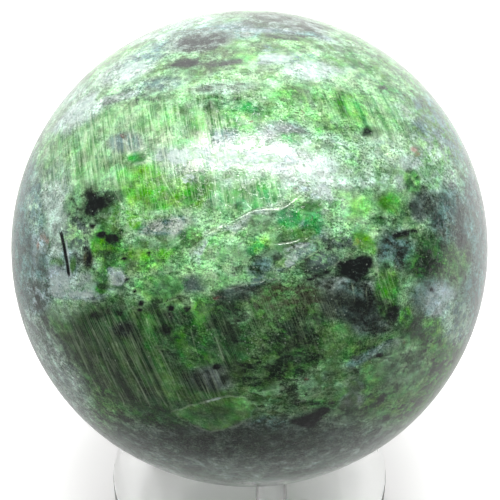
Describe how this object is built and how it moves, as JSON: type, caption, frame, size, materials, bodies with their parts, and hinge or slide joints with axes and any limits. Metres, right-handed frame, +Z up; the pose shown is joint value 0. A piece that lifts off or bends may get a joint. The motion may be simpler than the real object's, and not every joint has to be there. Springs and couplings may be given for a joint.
{
  "type": "chrome diopside sphere",
  "caption": "Polished ball of green chrome diopside rock, resting on a small clear stand with round pegs.",
  "frame": {"origin": "centre of the stand's underside, on the surface that it stands on", "axes": "+Z up through the centre of the ball, -Y towards the viewer of the picture, +X to the viewer's right"},
  "size_m": [0.06, 0.06, 0.0803],
  "materials": {
    "stone": "polished, mottled green with white, grey and black minerals",
    "clear_acrylic": "clear, polished"
  },
  "bodies": {
    "root": {"diopside_sphere": "stone", "stand_base": "clear_acrylic", "stand_peg_front": "clear_acrylic", "stand_peg_left": "clear_acrylic", "stand_peg_right": "clear_acrylic"}
  },
  "joints": []
}
